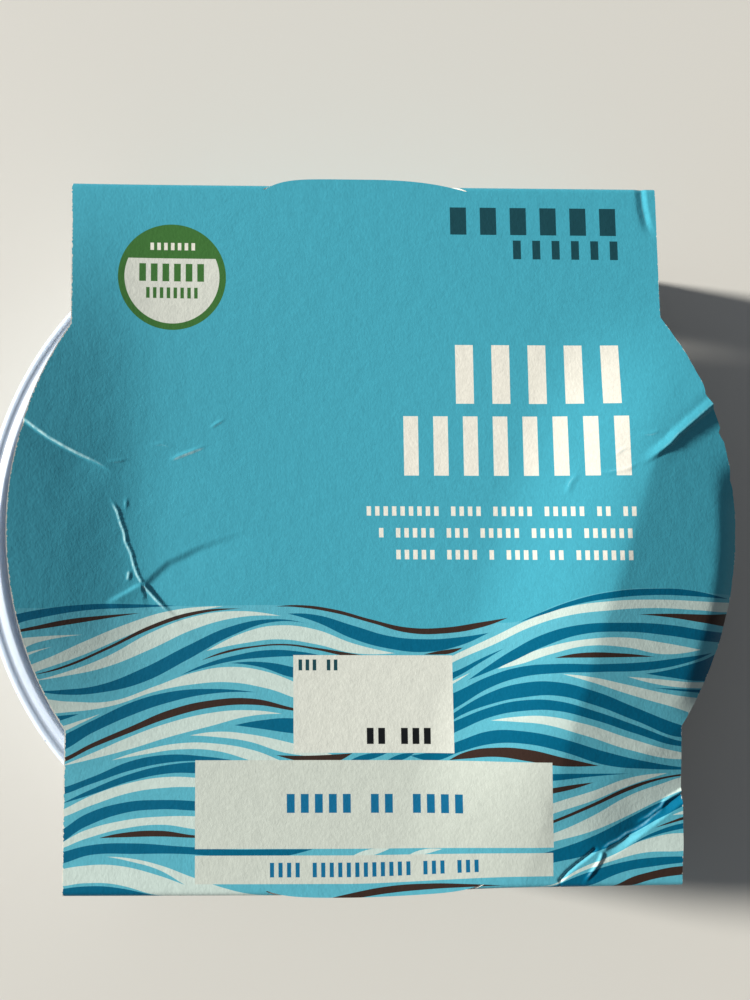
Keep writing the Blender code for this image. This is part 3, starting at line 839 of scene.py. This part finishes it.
def edge_curve(share, values):
    """A smooth curve through pairs of a share of the length and a height in millimetres."""
    made = add_node(tree, "ShaderNodeFloatCurve", (("Value", share),))
    curve = made.mapping.curves[0]
    while len(curve.points) < len(values):
        curve.points.new(0.5, 0.5)
    for point, (place, value) in zip(curve.points, values):
        point.location = (place, 1.0 + value / curve_scale)
        point.handle_type = "AUTO"
    made.mapping.extend = "HORIZONTAL"
    made.mapping.update()
    return made.outputs["Value"]


# A swoosh whose table ends while it is still wide runs out to a tip this far on.
tip_length = 4.0


def swoosh_cover(stations):
    """Positive inside a swoosh: the smaller distance to its top and bottom edges."""
    (x, top, bottom), (last_x, last_top, last_bottom) = stations[0], stations[-1]
    closed = list(stations)
    if top > bottom:
        closed.insert(0, (x - tip_length, (top + bottom) / 2, (top + bottom) / 2))
    if last_top > last_bottom:
        middle = (last_top + last_bottom) / 2
        closed.append((last_x + tip_length, middle, middle))
    stations = closed
    start, end = stations[0][0], stations[-1][0]
    share = maths("MULTIPLY_ADD", blank_x, 1.0 / (end - start), -start / (end - start))
    places = [(x - start) / (end - start) for x, _, _ in stations]
    top = edge_curve(share, [(p, s[1]) for p, s in zip(places, stations)])
    bottom = edge_curve(share, [(p, s[2]) for p, s in zip(places, stations)])
    under_top = maths("SUBTRACT", top, level)
    return maths("MINIMUM", under_top, maths("SUBTRACT", level, bottom))


def bar_cover(low_x, high_x, low_y, high_y):
    """Positive inside an upright rectangle, in millimetres."""
    off_x = maths("ABSOLUTE", maths("SUBTRACT", blank_x, (low_x + high_x) / 2))
    off_y = maths("ABSOLUTE", maths("SUBTRACT", blank_y, (low_y + high_y) / 2))
    return maths("MINIMUM", maths("SUBTRACT", (high_x - low_x) / 2, off_x),
                 maths("SUBTRACT", (high_y - low_y) / 2, off_y))


def row_cover(left, pitch, count, share, low_y, high_y, gaps=()):
    """A row of short upright bars in place of a line of words; gaps are skipped bars."""
    place = maths("MULTIPLY_ADD", blank_x, 1.0 / pitch, -left / pitch)
    off = maths("PINGPONG", place, 0.5)
    off_x = maths("MULTIPLY_ADD", off, pitch, -pitch * (1.0 - share) / 2)
    off_y = maths("ABSOLUTE", maths("SUBTRACT", blank_y, (low_y + high_y) / 2))
    inside = maths("MINIMUM", off_x, maths("SUBTRACT", (high_y - low_y) / 2, off_y))
    band = add_node(tree, "ShaderNodeValToRGB", (("Fac", maths("DIVIDE", place, count + 2.0)),))
    ramp = band.color_ramp
    ramp.interpolation = "CONSTANT"
    ramp.elements[0].position = 0.0
    ramp.elements[0].color = (1.0, 1.0, 1.0, 1.0)
    ramp.elements[1].position = count / (count + 2.0)
    ramp.elements[1].color = (0.0, 0.0, 0.0, 1.0)
    for gap in gaps:
        ramp.elements.new(gap / (count + 2.0)).color = (0.0, 0.0, 0.0, 1.0)
        ramp.elements.new((gap + 1.0) / (count + 2.0)).color = (1.0, 1.0, 1.0, 1.0)
    started = maths("GREATER_THAN", place, 0.0)
    allowed = maths("MULTIPLY", band.outputs["Color"], started)
    return maths("MULTIPLY", inside, allowed)


def lay_ink(below, ink, cover, sharpness):
    """Print an ink over the colours so far, with a crisp but not stepped edge."""
    mask = maths("MULTIPLY", cover, sharpness, clamp=True)
    mixed = add_node(tree, "ShaderNodeMix", (
        ("Factor", mask), ("A", below), ("B", linear(inks[ink]))), data_type="RGBA")
    return mixed.outputs["Result"]


# Covers are in millimetres, so an ink is full 1/25 mm inside its edge.
EDGE = 25.0
level = maths("MULTIPLY_ADD", blank_y, 1.0 / curve_scale, 1.0)
colour = add_node(tree, "ShaderNodeRGB").outputs["Color"]
colour.default_value = linear(inks["sky"])
for ink in ("shallow", "foam", "deep", "bark"):
    covers = [swoosh_cover(stations) for name, *stations in (*swooshes, *front_swooshes)
              if name == ink]
    cover = covers[0]
    for other in covers[1:]:
        cover = maths("MAXIMUM", cover, other)
    colour = lay_ink(colour, ink, cover, EDGE * curve_scale)

# Plain fields: the date panel, the storage panels and the round badge.
for ink, *field in (("label", -12.8, 13.2, -36.8, -21.2), ("panel", -28.6, 28.7, -51.5, -37.9),
                    ("panel", -28.6, 28.6, -56.0, -52.3)):
    colour = lay_ink(colour, ink, bar_cover(*field), EDGE)
badge_x, badge_y, badge_radius = -32.7, 41.6, 9.1
badge_ring, badge_cap = 1.1, 3.2
from_badge = add_node(tree, "ShaderNodeVectorMath", (
    (0, blank), (1, (badge_x, badge_y, 0.0))), operation="DISTANCE").outputs["Value"]
colour = lay_ink(colour, "leaf", maths("SUBTRACT", badge_radius, from_badge), EDGE)
badge_field = maths("MINIMUM", maths("SUBTRACT", badge_radius - badge_ring, from_badge),
                    maths("SUBTRACT", badge_y + badge_cap, blank_y))
colour = lay_ink(colour, "label", badge_field, EDGE)

# Rows of plain bars where a pack carries its wording: ink, left end, pitch, count,
# share of the pitch that is inked, lower and upper edge, and the skipped bars.
rows = (
    ("slate", 13.2, 5.1, 6, 0.55, 49.4, 54.2, ()),
    ("slate", 24.0, 3.3, 6, 0.42, 45.2, 48.5, ()),
    ("chalk", 13.2, 6.1, 5, 0.50, 20.4, 30.4, ()),
    ("chalk", 4.6, 4.98, 8, 0.50, 8.3, 18.3, ()),
    ("chalk", -0.8, 1.4, 32, 0.55, 1.6, 3.2, (9, 14, 20, 26, 29)),
    ("chalk", 1.2, 1.4, 30, 0.55, -2.0, -0.4, (1, 7, 11, 17, 23)),
    ("chalk", 4.0, 1.4, 28, 0.55, -5.6, -4.0, (5, 10, 12, 17, 20)),
    ("slate", -12.2, 1.15, 6, 0.55, -23.7, -21.9, (3,)),
    ("stamp", -1.3, 1.85, 6, 0.62, -35.4, -32.8, (2,)),
    ("note", -14.4, 2.25, 13, 0.58, -46.2, -43.2, (5, 8)),
    ("note", -17.0, 1.36, 25, 0.52, -55.1, -53.2, (4, 17, 21)),
    ("leaf", -38.6, 1.95, 6, 0.60, 40.8, 43.9, ()),
    ("leaf", -37.3, 1.15, 8, 0.55, 37.9, 39.8, ()),
    ("chalk", -36.6, 1.15, 7, 0.55, 46.2, 47.5, ()),
)
for ink, *row in rows:
    colour = lay_ink(colour, ink, row_cover(*row), EDGE)

# The cut edges are rubbed: raw board shows in a thin, ragged line round the
# straight cuts and the round flaps. The line is wider on the left, where it is also
# a painted highlight of the sunlit cut edge, and thinner on the right, away from the light.
fray = add_node(tree, "ShaderNodeTexNoise", (
    ("Vector", blank), ("Scale", 1.6), ("Detail", 4.0), ("Roughness", 0.7)))
past_straight = maths("SUBTRACT", maths("ABSOLUTE", blank_x), half_width)
on_right = maths("GREATER_THAN", blank_x, 0.0)
ear_middle_y = maths("MULTIPLY", on_right, right_ear_y)
ear_rim = maths("MULTIPLY_ADD", on_right, right_ear_radius - left_ear_radius, left_ear_radius)
ear_y = maths("SUBTRACT", blank_y, ear_middle_y)
from_middle = maths("SQRT", maths("ADD", maths("MULTIPLY", blank_x, blank_x),
                                  maths("MULTIPLY", ear_y, ear_y)))
past_ear = maths("SUBTRACT", from_middle, ear_rim)
# The left, lit edges get a wider pale line, partly painted highlight.
wear_and_lit_edge = maths("MULTIPLY_ADD", on_right, -0.20, maths("MULTIPLY_ADD", fray.outputs["Fac"], 0.9, -0.27))
bare_and_lit_edge = maths("ADD", maths("MINIMUM", past_straight, past_ear), wear_and_lit_edge)
colour = lay_ink(colour, "chalk", bare_and_lit_edge, EDGE)
# The pale cyan line along the creases: a painted highlight with some cracked ink, broken up by noise.
shine_and_cracks = add_node(tree, "ShaderNodeAttribute", attribute_name="painted crease highlight and cracked ink").outputs["Fac"]
shine_breakup = add_node(tree, "ShaderNodeTexNoise", (
    ("Vector", blank), ("Scale", 1.1), ("Detail", 3.0), ("Roughness", 0.6)))
shown = maths("MULTIPLY_ADD", shine_breakup.outputs["Fac"], 2.4, -0.45, clamp=True)
shine_and_crack_mask = maths("MULTIPLY", maths("SUBTRACT", shine_and_cracks, 0.15), 2.0, clamp=True)
shine_and_crack_colour = add_node(tree, "ShaderNodeMix", (
    ("Factor", maths("MULTIPLY", shine_and_crack_mask, shown)), ("A", colour), ("B", linear("#B4E3EA"))),
    data_type="RGBA")
colour = shine_and_crack_colour.outputs["Result"]

# Board under the ink: wood fibres lie mostly along the grain of the sheet and give
# it a streaked tooth, and the sheet is never quite flat between them. Ink takes a
# little unevenly on the high fibres, and the varnish over it is satin.
fibre_place = add_node(tree, "ShaderNodeMapping", (("Vector", blank), ("Scale", (2.3, 1.6, 1.0))))
fibres = add_node(tree, "ShaderNodeTexNoise", (
    ("Vector", fibre_place.outputs["Vector"]), ("Scale", 1.0), ("Detail", 3.0), ("Roughness", 0.55),
    ("Distortion", 0.4)))
cockle = add_node(tree, "ShaderNodeTexNoise", (
    ("Vector", blank), ("Scale", 0.35), ("Detail", 2.0), ("Roughness", 0.5)))
mottle = add_node(tree, "ShaderNodeTexNoise", (
    ("Vector", blank), ("Scale", 0.9), ("Detail", 5.0), ("Roughness", 0.65)))
tone = maths("MULTIPLY_ADD", fibres.outputs["Fac"], 0.16, 0.92)
tone = maths("MULTIPLY_ADD", mottle.outputs["Fac"], 0.16, maths("SUBTRACT", tone, 0.08))
toned = add_node(tree, "ShaderNodeVectorMath", ((0, colour), ("Scale", tone)), operation="SCALE")
tree.links.new(toned.outputs["Vector"], shader.inputs["Base Color"])
tooth_height = maths("MULTIPLY_ADD", fibres.outputs["Fac"], 0.024,
                     maths("MULTIPLY", cockle.outputs["Fac"], 0.05))
tooth = add_node(tree, "ShaderNodeBump", (
    ("Height", tooth_height), ("Strength", 1.0), ("Distance", 1.0 * MM)))
tree.links.new(tooth.outputs["Normal"], shader.inputs["Normal"])
sheen = add_node(tree, "ShaderNodeMapRange", (
    ("Value", fibres.outputs["Fac"]), ("To Min", 0.34), ("To Max", 0.50)))
tree.links.new(sheen.outputs["Result"], shader.inputs["Roughness"])
shader.inputs["IOR"].default_value = 1.48
shader.inputs["Specular IOR Level"].default_value = 0.2


def plain_board(name, colour, other, scale):
    """Unprinted board: pale wood fibre, matt and faintly speckled."""
    made, board_tree, board_shader = new_material(name)
    place = add_node(board_tree, "ShaderNodeTexCoord").outputs["Object"]
    speckle = add_node(board_tree, "ShaderNodeTexNoise", (
        ("Vector", place), ("Scale", scale), ("Detail", 5.0), ("Roughness", 0.7)))
    mixed = add_node(board_tree, "ShaderNodeMix", (
        ("Factor", speckle.outputs["Fac"]), ("A", linear(colour)), ("B", linear(other))),
        data_type="RGBA")
    rough = add_node(board_tree, "ShaderNodeBump", (
        ("Height", speckle.outputs["Fac"]), ("Strength", 0.4), ("Distance", 0.08 * MM)))
    board_tree.links.new(mixed.outputs["Result"], board_shader.inputs["Base Color"])
    board_tree.links.new(rough.outputs["Normal"], board_shader.inputs["Normal"])
    board_shader.inputs["Roughness"].default_value = 0.85
    return made


sleeve.data.materials.clear()
sleeve.data.materials.append(board_print)
sleeve.data.materials.append(plain_board("uncoated back of carton board", "#CFCDC4", "#BDBBB2", 900.0))
sleeve.data.materials.append(plain_board("cut edge of carton board", "#F0EFEA", "#D8D7D0", 2500.0))
bpy.ops.object.select_all(action="DESELECT")
sleeve.select_set(True)
bpy.context.view_layer.objects.active = sleeve
bpy.ops.object.modifier_apply(modifier=wall.name)
bpy.ops.object.shade_smooth_by_angle(angle=math.radians(50.0))
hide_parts("sleeve")
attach(sleeve, "root")

# --- Stage -------------------------------------------------------------------
# A plain pale surface takes the shadows. A low sun stands on the left, with a
# weak soft fill above it, and the camera looks down on the top of the pack.

bpy.ops.object.select_all(action="DESELECT")
bpy.ops.mesh.primitive_plane_add(size=3.0, location=(0.0, 0.0, -0.02 * MM))
floor = bpy.context.object
floor.name = "floor"
floor_paint, _, floor_shader = new_material("pale painted surface")
floor_shader.inputs["Base Color"].default_value = linear("#D9D7D2")
floor_shader.inputs["Roughness"].default_value = 0.8
floor.data.materials.append(floor_paint)

subject = Vector((0.0, 0.0, sleeve_height * MM))


def aim(made, azimuth, elevation, distance):
    """Place a light out from the middle of the top and face it there."""
    turn, rise = math.radians(azimuth), math.radians(elevation)
    way = Vector((math.cos(turn) * math.cos(rise), math.sin(turn) * math.cos(rise), math.sin(rise)))
    made.location = subject + way * distance
    made.rotation_euler = way.to_track_quat("Z", "Y").to_euler()
    bpy.context.scene.collection.objects.link(made)


key = bpy.data.lights.new("key", "SUN")
key.energy = 9.2
key.angle = math.radians(5.0)
key.color = linear("#FFFBF2")[:3]
aim(bpy.data.objects.new("key", key), 170.0, 16.5, 0.9)
fill = bpy.data.lights.new("fill", "AREA")
fill.size = 0.8
fill.energy = 0.65
fill.color = linear("#EAF2FF")[:3]
aim(bpy.data.objects.new("fill", fill), 140.0, 50.0, 0.8)
world = bpy.data.worlds.new("room")
world.use_nodes = True
world.node_tree.nodes["Background"].inputs["Color"].default_value = linear("#E6EDF5")
world.node_tree.nodes["Background"].inputs["Strength"].default_value = 0.12
bpy.context.scene.world = world

lens = bpy.data.cameras.new("camera")
lens.sensor_fit = "HORIZONTAL"
lens.sensor_width = 36.0
lens.lens = 36.0
lens.clip_start = 0.005
camera = bpy.data.objects.new("camera", lens)
camera.location = Vector((-0.95, -4.54, sleeve_height + 123.65)) * MM
ahead = Vector((0.0153, 0.0702, -0.9974)).normalized()
upward = Vector((0.0133, 0.9974, 0.0704))
rightward = ahead.cross(upward).normalized()
upward = rightward.cross(ahead)
matrix = camera.matrix_world.to_3x3()
matrix.col[0], matrix.col[1], matrix.col[2] = rightward, upward, -ahead
camera.rotation_euler = matrix.to_euler()
bpy.context.scene.collection.objects.link(camera)
bpy.context.scene.camera = camera
bpy.context.scene.view_settings.view_transform = "Standard"
